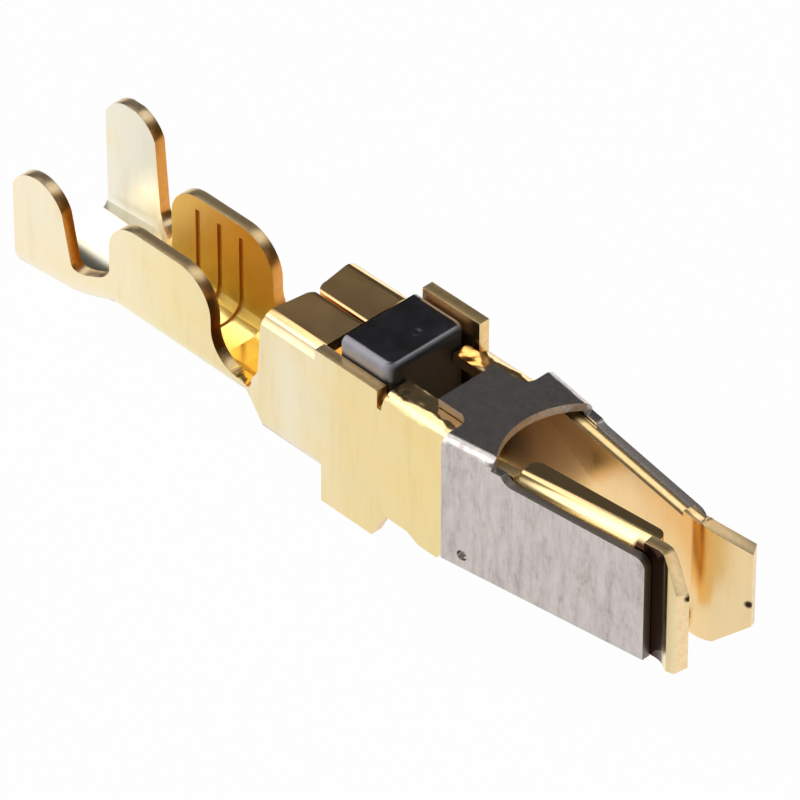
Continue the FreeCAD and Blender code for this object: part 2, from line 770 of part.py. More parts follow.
def make_spring_hood():
    """The steel clip over the box, with two blades that press the beams together."""
    body = doc.addObject("PartDesign::Body", "spring_hood")
    back = size("hood_back")
    front = size("hood_front")
    wall = size("spring_gauge")
    top = box_top + size("hood_clearance") + wall
    sections = []
    for name, station in (("back", back), ("front", front)):
        loop = hood_section(station)
        sections.append(new_sketch(body, f"hood_{name}_section", "YZ_Plane", [loop], shift=station))
    doc.recompute()
    loft = body.newObject("PartDesign::AdditiveLoft", "hood_channel")
    loft.Profile = sections[0]
    loft.Sections = sections[1:]
    loft.Ruled = True
    settle(body, loft)

    cheek = size("cheek_front")
    hollow = size("cheek_round")
    nose = size("blade_round")
    for name in ("near", "far"):
        blade = size(f"{name}_blade_top")
        tip_top = size(f"{name}_blade_tip_top")
        above = [
            corner(cheek, top + OVERRUN),
            corner(cheek, blade + hollow),
            corner(cheek + hollow, blade, hollow, "left"),
            corner(front - nose, tip_top),
            corner(front, tip_top - nose, nose, "right"),
            corner(front + OVERRUN, tip_top - nose),
            corner(front + OVERRUN, top + OVERRUN),
        ]
        side_cut(body, f"{name}_blade_edge", above, near=name == "near", far=name == "far")

    crown = cheek - size("arch_depth")
    rise = size("arch_rise")
    span = half_box - size("hood_bend") / 2
    radius = (span * span + rise * rise) / (2 * rise)
    arch = [
        corner(crown + rise, span),
        corner(crown, 0, radius, "left"),
        corner(crown + rise, -span, radius, "left"),
        corner(crown + rise, -span - OVERRUN),
        corner(cheek + OVERRUN, -span - OVERRUN),
        corner(cheek + OVERRUN, span + OVERRUN),
        corner(crown + rise, span + OVERRUN),
    ]
    sketch = new_sketch(body, "arch_outline", "XY_Plane", [arch], shift=top - size("hood_bend"))
    pocket(body, "arch", sketch, size("hood_bend") + OVERRUN, reverse=True)

    half = size("tongue_width") / 2
    tail = back - size("tongue_length")
    root_round = size("tongue_round")
    tongue = [
        corner(tail, half),
        corner(tail, -half),
        corner(back - root_round, -half),
        corner(back, -half - root_round, root_round, "right"),
        corner(back + wall, -half - root_round),
        corner(back + wall, half + root_round),
        corner(back, half + root_round),
        corner(back - root_round, half, root_round, "right"),
    ]
    sketch = new_sketch(body, "tongue_outline", "XY_Plane", [tongue], shift=top - wall)
    pad(body, "tongue", sketch, wall)
    add_dimples(body)
    return body


def add_dimples(body):
    """A round dimple in the foot of each blade."""
    radius = size("dimple_width") / 2
    station = size("dimple_station")
    level = size("dimple_level")
    ring = circle(station, level, radius)
    outer = half_box + size("hood_clearance") + size("spring_gauge") - (station - root) * tangent(lean)
    floor = outer - size("dimple_depth")
    for name, side in (("near", -1), ("far", 1)):
        sketch = new_sketch(body, f"{name}_dimple_outline", "XZ_Plane", [ring], shift=-side * floor)
        pocket(body, f"{name}_dimple", sketch, fixed(OVERRUN), reverse=side < 0)


def round_edges(body, name, chosen, radius):
    """Round the edges whose middle point the chosen rule accepts."""
    base = body.Tip
    names = []
    for index, edge in enumerate(base.Shape.Edges, start=1):
        if chosen(edge.valueAt((edge.FirstParameter + edge.LastParameter) / 2)):
            names.append(f"Edge{index}")
    rounding = body.newObject("PartDesign::Fillet", name)
    rounding.Base = (base, names)
    rounding.Radius = radius.value
    rounding.setExpression("Radius", radius.formula)
    settle(body, rounding)


def make_latch():
    """The dark latch: a cap with rounded edges that stands in the window on the floor of the box."""
    body = doc.addObject("PartDesign::Body", "latch")
    start = size("latch_start")
    end = start + size("latch_length")
    height = size("latch_height")
    wall = size("latch_wall")
    half = half_box - gauge - size("latch_clearance")
    footprint = rectangle(start, end, -half, half)
    sketch = new_sketch(body, "latch_footprint", "XY_Plane", [footprint], shift=gauge)
    pad(body, "latch_block", sketch, height - gauge)

    front = end.value
    side = half.value
    top = height.value
    touch = 1e-4
    round_edges(
        body, "front_corners",
        lambda place: abs(place.x - front) < touch and abs(abs(place.y) - side) < touch,
        size("latch_corner"),
    )
    round_edges(
        body, "top_rim",
        lambda place: abs(place.z - top) < touch and place.x > start.value + touch,
        size("latch_round"),
    )

    hollow = rectangle(wall - half, half - wall, gauge - OVERRUN, height - wall)
    sketch = new_sketch(body, "latch_hollow_outline", "YZ_Plane", [hollow], shift=end - wall)
    pocket(body, "latch_hollow", sketch, size("latch_length") + OVERRUN)

    mark = circle(end - size("mark_setback"), size("mark_offset"), size("mark_width") / 2)
    sketch = new_sketch(body, "latch_mark_outline", "XY_Plane", [mark], shift=height - size("mark_depth"))
    pocket(body, "latch_mark", sketch, fixed(OVERRUN), reverse=True)
    return body


def check(objects):
    """Stop if any object of the document failed or any sub-part has no sound shape."""
    doc.recompute()
    for item in doc.Objects:
        if "Invalid" in item.State or "Error" in item.State:
            raise RuntimeError(f"{item.Name} is in state {item.State}")
    for item in objects:
        if item.Shape.isNull() or not item.Shape.isValid() or len(item.Shape.Solids) != 1:
            raise RuntimeError(f"{item.Label} has no single sound solid")


def place(body):
    """Put the middle of the footprint, at the level of the tab tips, on the origin."""
    middle = (grip_back + mating_end) / 2
    rise = size("tab_depth")
    body.Placement = Placement(Vector(-middle.value, 0, rise.value), Rotation())
    body.setExpression("Placement.Base.x", (-middle).formula)
    body.setExpression("Placement.Base.z", rise.formula)


parts = [make_contact_body(), make_spring_hood(), make_latch()]
for part in parts:
    part.Label = part.Name
    place(part)
check(parts)

os.makedirs("parts", exist_ok=True)
for part in parts:
    part.Shape.exportStep(os.path.join("parts", f"{part.Label}.step"))
    box = part.Shape.BoundBox
    print(part.Label, round(part.Shape.Volume, 3), [round(v, 3) for v in (box.XMin, box.YMin, box.ZMin)],
          [round(v, 3) for v in (box.XMax, box.YMax, box.ZMax)])
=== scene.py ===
# %% [markdown]
# # Crimp socket contact
# A small plated contact: a strip folded into an insulation grip, a wire barrel, a box and two leaning
# beams, a steel spring hood pushed over the box, and a dark latch in the window of the box. The packed
# CAD model is the frame, so every piece is drawn where its solid is. The model was drawn in millimetres
# from an origin of its own, below the rear edge of the keying tabs and on the box floor. The frame has
# its origin on the ground under the middle of the part, in metres, so one shift leads from the first to
# the second.

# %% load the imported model
import math

import bmesh
import bpy
import numpy as np
from mathutils import Matrix, Vector


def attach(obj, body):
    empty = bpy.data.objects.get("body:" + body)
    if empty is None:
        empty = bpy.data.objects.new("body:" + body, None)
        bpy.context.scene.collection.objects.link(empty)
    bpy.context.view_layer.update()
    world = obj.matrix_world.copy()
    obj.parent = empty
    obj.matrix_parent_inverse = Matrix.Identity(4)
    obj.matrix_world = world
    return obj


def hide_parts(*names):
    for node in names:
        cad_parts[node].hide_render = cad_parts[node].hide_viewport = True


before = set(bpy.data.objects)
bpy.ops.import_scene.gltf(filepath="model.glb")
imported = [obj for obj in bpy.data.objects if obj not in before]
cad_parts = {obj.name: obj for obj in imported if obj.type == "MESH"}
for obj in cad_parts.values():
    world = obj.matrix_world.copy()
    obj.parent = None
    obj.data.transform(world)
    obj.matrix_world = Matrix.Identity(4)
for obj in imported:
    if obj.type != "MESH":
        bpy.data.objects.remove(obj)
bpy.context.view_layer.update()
MM = 0.001
WORK_ORIGIN = (-0.4423, 0.0, 0.86)     # of the drawing, in the frame, in millimetres
print("nodes:", sorted(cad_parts))

# %% [markdown]
# ## Camera
# A long lens from a distance of about 0.2 m: the picture was taken from the front right and above, with
# hardly any perspective. The camera could be placed by eye. Here it is worked out, from its azimuth and
# elevation and one point that it sees at a known place in the picture, the rear tip corner of the near
# keying tab, because then every edge of the model falls on the same edge of the picture.

# %% sizes of the camera
AZIMUTH, ELEVATION = math.radians(46.3), math.radians(39.3)
PIXELS_WIDE = 800
FOCAL_PIXELS = 8500.0
PIXELS_PER_MM = 40.6
SENSOR_MM = 36.0
TAB_CORNER = Vector((0.0, -1.675, -0.862)) * MM
TAB_CORNER_PIXEL = (321.2, 500.3)
REFINEMENTS = 20

# %% the camera
right = Vector((math.cos(AZIMUTH), math.sin(AZIMUTH), 0))
level = math.cos(ELEVATION)
back = Vector((math.sin(AZIMUTH) * level, -math.cos(AZIMUTH) * level, math.sin(ELEVATION)))
up = back.cross(right)
distance = FOCAL_PIXELS / PIXELS_PER_MM * MM
work_to_row = Vector(WORK_ORIGIN) * MM
aim = TAB_CORNER + work_to_row
depth = distance
for _ in range(REFINEMENTS):
    across = (TAB_CORNER_PIXEL[0] - PIXELS_WIDE / 2) / FOCAL_PIXELS * depth
    down = (TAB_CORNER_PIXEL[1] - PIXELS_WIDE / 2) / FOCAL_PIXELS * depth
    eye = aim - right * across + up * down + back * depth
    depth = distance - (work_to_row - aim).dot(back)

camera_data = bpy.data.cameras.new("camera")
camera_data.sensor_width = SENSOR_MM
camera_data.lens = SENSOR_MM * FOCAL_PIXELS / PIXELS_WIDE
camera_data.clip_start = 0.01
camera_data.clip_end = 5.0
camera = bpy.data.objects.new("camera", camera_data)
camera.matrix_world = Matrix((
    (right.x, up.x, back.x, eye.x),
    (right.y, up.y, back.y, eye.y),
    (right.z, up.z, back.z, eye.z),
    (0, 0, 0, 1),
))
bpy.context.scene.collection.objects.link(camera)
bpy.context.scene.camera = camera
print("camera at", [round(v, 4) for v in eye], "lens", round(camera_data.lens, 1))

# %% [markdown]
# ## Finishes
# Each finish is a node tree on Object coordinates, so it needs no unwrapping and stays sharp at any
# distance. The first helpers make the shader and wire noises into colour, roughness and bump, because
# rolled and plated metal is never quite even. Lengths in the finishes are metres in the frame, as the
# shader reads them.


# %% helpers for noises and ramps
def new_material(name):
    """A material with an empty tree, its Principled shader and its output."""
    material = bpy.data.materials.new(name)
    material.use_nodes = True
    tree = material.node_tree
    tree.nodes.clear()
    output = tree.nodes.new("ShaderNodeOutputMaterial")
    shader = tree.nodes.new("ShaderNodeBsdfPrincipled")
    tree.links.new(shader.outputs["BSDF"], output.inputs["Surface"])
    return material, tree, shader


def noise(tree, scale, detail=4.0, stretch=(1, 1, 1), roughness=0.5):
    """Noise on Object coordinates, stretched along the axes. Scale is in features per metre."""
    place = tree.nodes.new("ShaderNodeTexCoord")
    mapping = tree.nodes.new("ShaderNodeMapping")
    mapping.inputs["Scale"].default_value = stretch
    texture = tree.nodes.new("ShaderNodeTexNoise")
    texture.inputs["Scale"].default_value = scale
    texture.inputs["Detail"].default_value = detail
    texture.inputs["Roughness"].default_value = roughness
    tree.links.new(place.outputs["Object"], mapping.inputs["Vector"])
    tree.links.new(mapping.outputs["Vector"], texture.inputs["Vector"])
    return texture.outputs["Fac"]


def ramp(tree, factor, stops):
    """A colour ramp: stops are (position, (r, g, b))."""
    node = tree.nodes.new("ShaderNodeValToRGB")
    elements = node.color_ramp.elements
    while len(elements) < len(stops):
        elements.new(0.5)
    for element, (position, colour) in zip(elements, stops):
        element.position = position
        element.color = (*colour, 1)
    tree.links.new(factor, node.inputs["Fac"])
    return node.outputs["Color"]


def spread(tree, factor, low, high, start=0.3, end=0.7, steps="LINEAR"):
    """Stretch a factor from start..end to low..high."""
    node = tree.nodes.new("ShaderNodeMapRange")
    node.interpolation_type = steps
    node.inputs["From Min"].default_value = start
    node.inputs["From Max"].default_value = end
    node.inputs["To Min"].default_value = low
    node.inputs["To Max"].default_value = high
    tree.links.new(factor, node.inputs["Value"])
    return node.outputs["Result"]


def bump(tree, shader, heights, strength, depth):
    """Bump the shader's normal with a height field; depth in metres."""
    node = tree.nodes.new("ShaderNodeBump")
    node.inputs["Strength"].default_value = strength
    node.inputs["Distance"].default_value = depth
    tree.links.new(heights, node.inputs["Height"])
    tree.links.new(node.outputs["Normal"], shader.inputs["Normal"])


# %% [markdown]
# ## Masks
# A folded strip changes its look from place to place: pale outside, rich where it faces itself, crumpled
# on the small front flaps. A mask for each could be painted. Here masks are worked out from the point's
# place and from the direction that it faces, with a few arithmetic nodes, so they follow the folds
# exactly.


# %% helpers for masks
def math_node(tree, operation, first, second=None):
    """One arithmetic step on sockets or numbers."""
    node = tree.nodes.new("ShaderNodeMath")
    node.operation = operation
    for slot, value in enumerate((first, second)):
        if value is None:
            continue
        if isinstance(value, (int, float)):
            node.inputs[slot].default_value = value
        else:
            tree.links.new(value, node.inputs[slot])
    return node.outputs[0]


def product(tree, first, *others):
    """Sockets or numbers multiplied together."""
    for other in others:
        first = math_node(tree, "MULTIPLY", first, other)
    return first


def total_of(tree, first, *others):
    """Sockets or numbers added together."""
    for other in others:
        first = math_node(tree, "ADD", first, other)
    return first


def between(tree, value, start, end, soft=0.0001):
    """1 where a value lies from start to end, falling to 0 over a soft edge."""
    after = spread(tree, value, 0, 1, start - soft, start)
    before = spread(tree, value, 1, 0, end, end + soft)
    return product(tree, after, before)


def blended(tree, factor, colour, other, mode="MIX"):
    """Two colours mixed by a factor, or the first multiplied by the second."""
    node = tree.nodes.new("ShaderNodeMix")
    node.data_type = "RGBA"
    node.blend_type = mode
    if isinstance(factor, (int, float)):
        node.inputs["Factor"].default_value = factor
    else:
        tree.links.new(factor, node.inputs["Factor"])
    for name, value in (("A", colour), ("B", other)):
        if isinstance(value, tuple):
            node.inputs[name].default_value = (*value, 1)
        else:
            tree.links.new(value, node.inputs[name])
    return node.outputs["Result"]


def place_and_facing(tree):
    """The point's place, then its place and the direction it faces, each split along the axes."""
    place = tree.nodes.new("ShaderNodeTexCoord")
    where = tree.nodes.new("ShaderNodeSeparateXYZ")
    facing = tree.nodes.new("ShaderNodeSeparateXYZ")
    tree.links.new(place.outputs["Object"], where.inputs["Vector"])
    tree.links.new(place.outputs["Normal"], facing.inputs["Vector"])
    return place.outputs["Object"], where.outputs, facing.outputs


# %% [markdown]
# ## Gold plating
# Plated gold looks pale where it mirrors white surroundings, and deep orange where the light has bounced
# between two gold walls. A path tracer does some of that by itself, but the picture shows more of it than
# the bounces give, so the colour changes too: a pale row of colours along the contact for faces that look
# away from its middle, and a rich row for tops and for the insides of the folds.

# %% colours of the plating
ROW_HALF = 0.0116     # half the contact's length
PALE_GOLD = [
    (0.00, (1.00, 0.89, 0.66)),
    (0.12, (0.99, 0.88, 0.62)),
    (0.22, (0.95, 0.81, 0.47)),
    (0.36, (0.90, 0.73, 0.40)),
    (0.43, (0.92, 0.83, 0.60)),
    (0.52, (0.91, 0.74, 0.39)),
    (0.65, (0.90, 0.72, 0.35)),
    (0.95, (0.90, 0.74, 0.40)),
    (1.00, (1.00, 0.90, 0.62)),
]
RICH_GOLD = [
    (0.07, (1.00, 0.96, 0.82)),
    (0.13, (1.00, 0.68, 0.20)),
    (0.32, (1.00, 0.68, 0.20)),
    (0.40, (1.00, 0.64, 0.29)),
    (0.55, (0.99, 0.69, 0.36)),
    (0.94, (0.98, 0.70, 0.34)),
    (0.97, (0.90, 0.69, 0.38)),
]
CLOUD_TINTS = [(0.3, (1.0, 0.95, 0.84)), (0.5, (1.0, 0.99, 0.98)), (0.7, (0.98, 0.99, 1.0))]
STREAK_TINTS = [(0.32, (0.95, 0.93, 0.88)), (0.46, (0.99, 0.985, 0.975)), (0.58, (1.0, 1.0, 1.0))]
CLOUD_NOISE = (700, 4, (0.6, 1, 1))             # features per metre, detail, stretch
STREAK_NOISE = (2600, 6, (1, 1, 0.18), 0.7)     # the same, and roughness
DEEP_YELLOW = (1.0, 0.83, 0.30)
# painted shade: dark colour for the crease between the blade's front and the lead-in
PAINTED_SHADE = (0.06, 0.025, 0.012)
# more orange on the outside of the walls where the hood begins
HOOD_EDGE_ORANGE, HOOD_EDGE_SHARE = (1.0, 0.58, 0.20), 0.6
DARK_SPOT = (0.04, 0.02, 0.012)

# %% places on the strip
CRIMP_END = -0.0052     # where the wire barrel ends
BARREL, BARREL_LOW = (-0.0086, -0.0046), (0.0013, 0.0026)
UNDER_ARCH, UNDER_ARCH_SOFT = (0.0040, 0.0052), 0.0012
REAR_FLAPS = (-0.00275, -0.0006)
FRONT_FLAPS, FLAP_LEVEL = (0.0017, 0.0041), 0.0040
HOOD_SEAT = (0.00395, 0.0042)
# painted shade: where along the contact the crease at the beam bends is darkened
SHADED_BEND = (0.0096, 0.01052)
LEAD_IN_START = 0.0108
# small dark spots at the front of the lead-ins: centre and radius
DARK_SPOTS = [((0.01158, 0.00103, 0.00246), 0.00014), ((0.01160, -0.00109, 0.00394), 0.00013)]

# %% facings: the cosines, to the side or upwards, at which a mask starts and is full
PALE_FACING, INSIDE_FACING = (0.2, 0.85), (0.2, 0.6)
CLEAR_FACING = (0.5, 0.8)
INWARD_FACING, OUTER_FACING = (-0.6, 0.0), (0.3, 0.6)
UPWARD_FACING = (0.4, 0.8)
print("pale row:", len(PALE_GOLD), "colours; rich row:", len(RICH_GOLD), "colours; stains:", len(DARK_SPOTS))


# %% colour of the plating
def spotted(tree, place, colour):
    """Small dark spots at the front of the lead-ins, fully dark inside half their radius."""
    for centre, radius in DARK_SPOTS:
        far = tree.nodes.new("ShaderNodeVectorMath")
        far.operation = "DISTANCE"
        far.inputs[1].default_value = centre
        tree.links.new(place, far.inputs[0])
        spot = spread(tree, far.outputs["Value"], 1, 0, radius * 0.5, radius)
        colour = blended(tree, spot, colour, DARK_SPOT)
    return colour


def plating_colour(tree, place, where, outward, clouds):
    """Pale or rich by facing, yellow low in the barrel, clouded and faintly streaked, with painted shade in
    the crease at the beam bends, and more orange where the hood begins."""
    x = where["X"]
    along = spread(tree, x, 0, 1, -ROW_HALF, ROW_HALF)
    # painted reflection: pale where a face mirrors the white floor, rich where light bounces between the gold
    # walls
    pale_share = spread(tree, outward, 0, 1, *PALE_FACING)
    gilding = blended(tree, pale_share, ramp(tree, along, RICH_GOLD), ramp(tree, along, PALE_GOLD))
    inside = spread(tree, outward, 1, 0, *INSIDE_FACING)
    low = spread(tree, where["Z"], 1, 0, *BARREL_LOW)
    gilding = blended(tree, product(tree, low, between(tree, x, *BARREL), inside), gilding, DEEP_YELLOW)
    coloured = blended(tree, 1.0, gilding, ramp(tree, clouds, CLOUD_TINTS), "MULTIPLY")
    streaks = noise(tree, *STREAK_NOISE)
    coloured = blended(tree, 1.0, coloured, ramp(tree, streaks, STREAK_TINTS), "MULTIPLY")
    # painted shade: the outside of the beam bends is darkened where the blade's front meets the lead-in
    bend_shade = product(tree, between(tree, x, *SHADED_BEND), spread(tree, outward, 0, 1, *CLEAR_FACING))
    coloured = blended(tree, bend_shade, coloured, PAINTED_SHADE)
    # more orange on the outside of the walls where the hood begins
    beside_hood = spread(tree, outward, 0, HOOD_EDGE_SHARE, *CLEAR_FACING)
    extra_by_place = product(tree, between(tree, x, *HOOD_SEAT), beside_hood)
    return spotted(tree, place, blended(tree, extra_by_place, coloured, HOOD_EDGE_ORANGE))


# %% [markdown]
# ### How even the plating is
# Rough metal spreads what it mirrors. The insides of the folds are rougher than the outside, most of all
# in the barrel and under the hood, where the tools rub. The relief stands for shapes of a few hundredths
# of a millimetre, which a mesh would need many faces for: the dished floor of the crimps, the lean of the
# rear flaps and the roll of their seam, the crumpled front flaps.


# %% roughness of the plating
CLOUDED_ROUGHNESS = (0.13, 0.20)
CRIMP_ROUGHNESS, BOX_ROUGHNESS, ARCH_ROUGHNESS = 0.30, 0.06, 0.4
LEAD_IN_ROUGHNESS, LEAD_IN_SOFT = 0.7, 0.0001


def plating_roughness(tree, x, outward, clouds):
    """Clouded, plus more where the strip faces itself, plus most on the outside of the lead-ins."""
    under_arch = product(tree, between(tree, x, *UNDER_ARCH, UNDER_ARCH_SOFT), ARCH_ROUGHNESS)
    extra_by_place = total_of(tree, spread(tree, x, CRIMP_ROUGHNESS, BOX_ROUGHNESS, CRIMP_END, 0.0), under_arch)
    inward = product(tree, spread(tree, outward, 1, 0, *INWARD_FACING), extra_by_place)
    flared = spread(tree, x, 0, LEAD_IN_ROUGHNESS, LEAD_IN_START, LEAD_IN_START + LEAD_IN_SOFT)
    lead_in = product(tree, flared, spread(tree, outward, 0, 1, *OUTER_FACING))
    return total_of(tree, spread(tree, clouds, *CLOUDED_ROUGHNESS), inward, lead_in)


# %% relief of the plating
DISH_MIDDLE, DISH_RISE = -0.0008, 117.0
FLAP_TILT = 0.10
SEAM_ROLL, SEAM_HALF = 0.4, 0.00014
CRUMPLE_NOISE, CRUMPLE_DEPTH = (1500, 1.5), 0.00013
RIPPLE_NOISE, RIPPLE_DEPTH = (420, 2), 0.00001


def plating_relief(tree, where, facing):
    """Height in metres, on faces that look up: rise times the square of the way from the middle of the crimp
    floor; a straight slope on the rear flaps, rolled down with the square of the way into the seam; noise on
    the front flaps. Wide ripples everywhere."""
    x, y = where["X"], where["Y"]
    off_middle = math_node(tree, "SUBTRACT", y, DISH_MIDDLE)
    dish = product(tree, off_middle, off_middle, DISH_RISE, math_node(tree, "LESS_THAN", x, CRIMP_END))
    into_seam = math_node(tree, "SUBTRACT", SEAM_HALF, math_node(tree, "ABSOLUTE", y))
    from_seam = math_node(tree, "MAXIMUM", into_seam, 0.0)
    roll = product(tree, from_seam, from_seam, -SEAM_ROLL / (2 * SEAM_HALF))
    flaps = product(tree, total_of(tree, product(tree, y, FLAP_TILT), roll), between(tree, x, *REAR_FLAPS))
    on_top = math_node(tree, "GREATER_THAN", where["Z"], FLAP_LEVEL)
    on_front_flaps = between(tree, x, *FRONT_FLAPS)
    crumple = product(tree, noise(tree, *CRUMPLE_NOISE), on_front_flaps, on_top, CRUMPLE_DEPTH)
    upward = spread(tree, facing["Z"], 0, 1, *UPWARD_FACING)
    shaped = product(tree, total_of(tree, dish, flaps, crumple), upward)
    return total_of(tree, shaped, product(tree, noise(tree, *RIPPLE_NOISE), RIPPLE_DEPTH))


# %% the plating
def plated_strip():
    """Gold over bright-rolled strip. Outward is 1 on a face that looks sideways, away from the middle."""
    material, tree, shader = new_material("plated_strip")
    place, where, facing = place_and_facing(tree)
    outward = product(tree, facing["Y"], math_node(tree, "SIGN", where["Y"]))
    clouds = noise(tree, *CLOUD_NOISE)
    tree.links.new(plating_colour(tree, place, where, outward, clouds), shader.inputs["Base Color"])
    tree.links.new(plating_roughness(tree, where["X"], outward, clouds), shader.inputs["Roughness"])
    shader.inputs["Metallic"].default_value = 1.0
    bump(tree, shader, plating_relief(tree, where, facing), 1.0, 1.0)
    return material


plated = plated_strip()
print(plated.name, len(plated.node_tree.nodes), "nodes")

# %% [markdown]
# ## Cut edges of the strip
# The press shears the strip before it is plated, so its edges have gold too, but over a torn, half matt
# face. On the wings of the crimps the edges that look forward are orange brown, as painted reflection. One
# finish could serve for all, but a thin edge of its own colour is what tells the eye that this is bent
# sheet. The upper edge of the far beam is rolled over a little, so a bright line runs along it. The line
# is relief too: a smooth step across the edge.

# %% cut edges of the strip
EDGE_GOLD, WING_EDGE_GOLD, EDGE_ROUGHNESS = (1.0, 0.66, 0.32), (0.80, 0.36, 0.08), 0.32
TEAR_NOISE, TEAR_TINTS = (6000, 5, (1, 1, 1), 0.7), [(0.3, (0.90, 0.82, 0.72)), (0.6, (1.0, 1.0, 1.0))]
WINGS_END = CRIMP_END + 0.0005
BEAM_SLOPE = 0.14     # how the far beam closes in, sideways over lengthways
FAR_BEAM, FAR_EDGE = (0.0050, 0.0104), (0.00196, 0.00217)
FAR_ROLL, EDGE_TEAR = 0.00005, 0.000002


def sheared_gold():
    """Half the pale row and half a warmer gold, browner on wing edges that look forward, torn by a noise.
    Relief: a smooth step across the far beam's edge, where y plus slope times x is the way across."""
    material, tree, shader = new_material("sheared_gold")
    place, where, facing = place_and_facing(tree)
    along = spread(tree, where["X"], 0, 1, -ROW_HALF, ROW_HALF)
    tears = noise(tree, *TEAR_NOISE)
    tint = ramp(tree, tears, TEAR_TINTS)
    gilding = blended(tree, 0.5, EDGE_GOLD, ramp(tree, along, PALE_GOLD))
    # painted reflection: wing edges that look forward are browner
    forward = spread(tree, facing["X"], 0, 1, *CLEAR_FACING)
    on_wings = math_node(tree, "LESS_THAN", where["X"], WINGS_END)
    gilding = blended(tree, product(tree, forward, on_wings), gilding, WING_EDGE_GOLD)
    coloured = spotted(tree, place, blended(tree, 1.0, gilding, tint, "MULTIPLY"))
    tree.links.new(coloured, shader.inputs["Base Color"])
    shader.inputs["Roughness"].default_value = EDGE_ROUGHNESS
    shader.inputs["Metallic"].default_value = 1.0
    slanted = math_node(tree, "ADD", where["Y"], product(tree, where["X"], BEAM_SLOPE))
    roll = spread(tree, slanted, 0, FAR_ROLL, *FAR_EDGE, "SMOOTHSTEP")
    upward = spread(tree, facing["Z"], 0, 1, *UPWARD_FACING)
    on_edge = product(tree, between(tree, where["X"], *FAR_BEAM), upward)
    tearing = product(tree, tears, EDGE_TEAR)
    bump(tree, shader, math_node(tree, "ADD", product(tree, roll, on_edge), tearing), 1.0, 1.0)
    return material


gold_edges = sheared_gold()
print(gold_edges.name, len(gold_edges.node_tree.nodes), "nodes")

# %% [markdown]
# ## Spring steel
# The hood is bent from rolled spring steel: warm grey, with upright streaks from the rolls and faint
# stains. A noise squeezed along one axis gives streaks without a picture. The sheared edges are dark and
# torn, and lighter only round the arch of the roof, where the press has smeared them. On the far side
# they are darker still, as painted shade.

# %% spring steel
TONGUE_ROOT = 0.00415     # where the hood's tongue meets its roof
ROOF_RIM = (0.0043, 0.0046)
ROLLED_STEEL = [(0.3, (0.52, 0.47, 0.45)), (0.5, (0.62, 0.57, 0.54)), (0.7, (0.67, 0.63, 0.60))]
STEEL_STAINS = [(0.30, (0.62, 0.58, 0.56)), (0.47, (0.92, 0.91, 0.91)), (0.6, (1.0, 1.0, 1.0))]
SMEARED_STEEL = [(0.3, (0.52, 0.47, 0.43)), (0.6, (0.74, 0.69, 0.64))]
TORN_STEEL, FAR_EDGE_SHADE = (0.26, 0.22, 0.19), (0.11, 0.08, 0.06)
ROLLING_NOISE, STAIN_NOISE = (5200, 6, (1, 1, 0.16), 0.7), (2600, 8, (1.2, 1, 0.5), 0.8)
STEEL_TEAR_NOISE = (9000, 5, (1, 1, 1), 0.7)
STEEL_ROUGHNESS, TORN_ROUGHNESS = (0.30, 0.20), 0.5
TORN_METALLIC, SMEARED_METALLIC = 1.0, 0.8
ROLLING_RELIEF, TEAR_RELIEF = (0.20, 0.000006), (0.5, 0.00001)     # strength and depth


def spring_steel():
    """Streaked colour times stains; the stains also make it rougher where they are dark."""
    material, tree, shader = new_material("spring_steel")
    streaks, stains = noise(tree, *ROLLING_NOISE), noise(tree, *STAIN_NOISE)
    rolled, stained_share = ramp(tree, streaks, ROLLED_STEEL), ramp(tree, stains, STEEL_STAINS)
    tree.links.new(blended(tree, 1.0, rolled, stained_share, "MULTIPLY"), shader.inputs["Base Color"])
    tree.links.new(spread(tree, stains, *STEEL_ROUGHNESS), shader.inputs["Roughness"])
    shader.inputs["Metallic"].default_value = 1.0
    bump(tree, shader, streaks, *ROLLING_RELIEF)
    return material


def sheared_steel():
    """Torn and dark, darker on the far side as painted shade, but lighter and half matt round the arch:
    high up and in front of the tongue's root.
    """
    material, tree, shader = new_material("sheared_steel")
    _, where, facing = place_and_facing(tree)
    tears = noise(tree, *STEEL_TEAR_NOISE)
    colour = ramp(tree, tears, SMEARED_STEEL)
    on_roof = spread(tree, where["Z"], 0, 1, *ROOF_RIM)
    arch = product(tree, on_roof, math_node(tree, "GREATER_THAN", where["X"], TONGUE_ROOT))
    # painted shade: the sheared edges on the far side are darker
    far_side = math_node(tree, "GREATER_THAN", where["Y"], 0.0)
    torn_with_far_shade = blended(tree, far_side, TORN_STEEL, FAR_EDGE_SHADE)
    tree.links.new(blended(tree, arch, torn_with_far_shade, colour), shader.inputs["Base Color"])
    shader.inputs["Roughness"].default_value = TORN_ROUGHNESS
    tree.links.new(spread(tree, arch, TORN_METALLIC, SMEARED_METALLIC, 0, 1), shader.inputs["Metallic"])
    bump(tree, shader, tears, *TEAR_RELIEF)
    return material


steel, steel_edges = spring_steel(), sheared_steel()
print(steel.name, "and", steel_edges.name)

# %% [markdown]
# ## Dark latch
# The latch is darkened metal. Its top is smooth and nearly black, because it mirrors the dark part of the
# room. Round the sides it is half matt, greyer and less metallic. Its front face and its low part between
# the walls are painted black, as painted shade.

# %% dark latch
LATCH_TOP_TONES = [(0.35, (0.17, 0.165, 0.18)), (0.6, (0.21, 0.20, 0.22)), (0.8, (0.26, 0.25, 0.27))]
LATCH_SIDE_TONES = [(0.35, (0.34, 0.33, 0.36)), (0.7, (0.44, 0.43, 0.47))]
# painted shade: black for the front face and for the low part between the walls
BLACK = (0.03, 0.03, 0.03)
LATCH_SHADE = (0.00462, 0.00480)     # from fully dark to not dark, up the latch
LATCH_ASIDE, LATCH_FRONT = (0.80, 0.97), (0.45, 0.85)
WEAR_NOISE, WEAR_RELIEF = (1600, 5, (1, 1, 1), 0.55), (0.2, 0.000008)
LATCH_ROUGHNESS, SIDE_ROUGHNESS = (0.16, 0.24), 0.26
TOP_METALLIC, SIDE_METALLIC = 1.0, 0.3


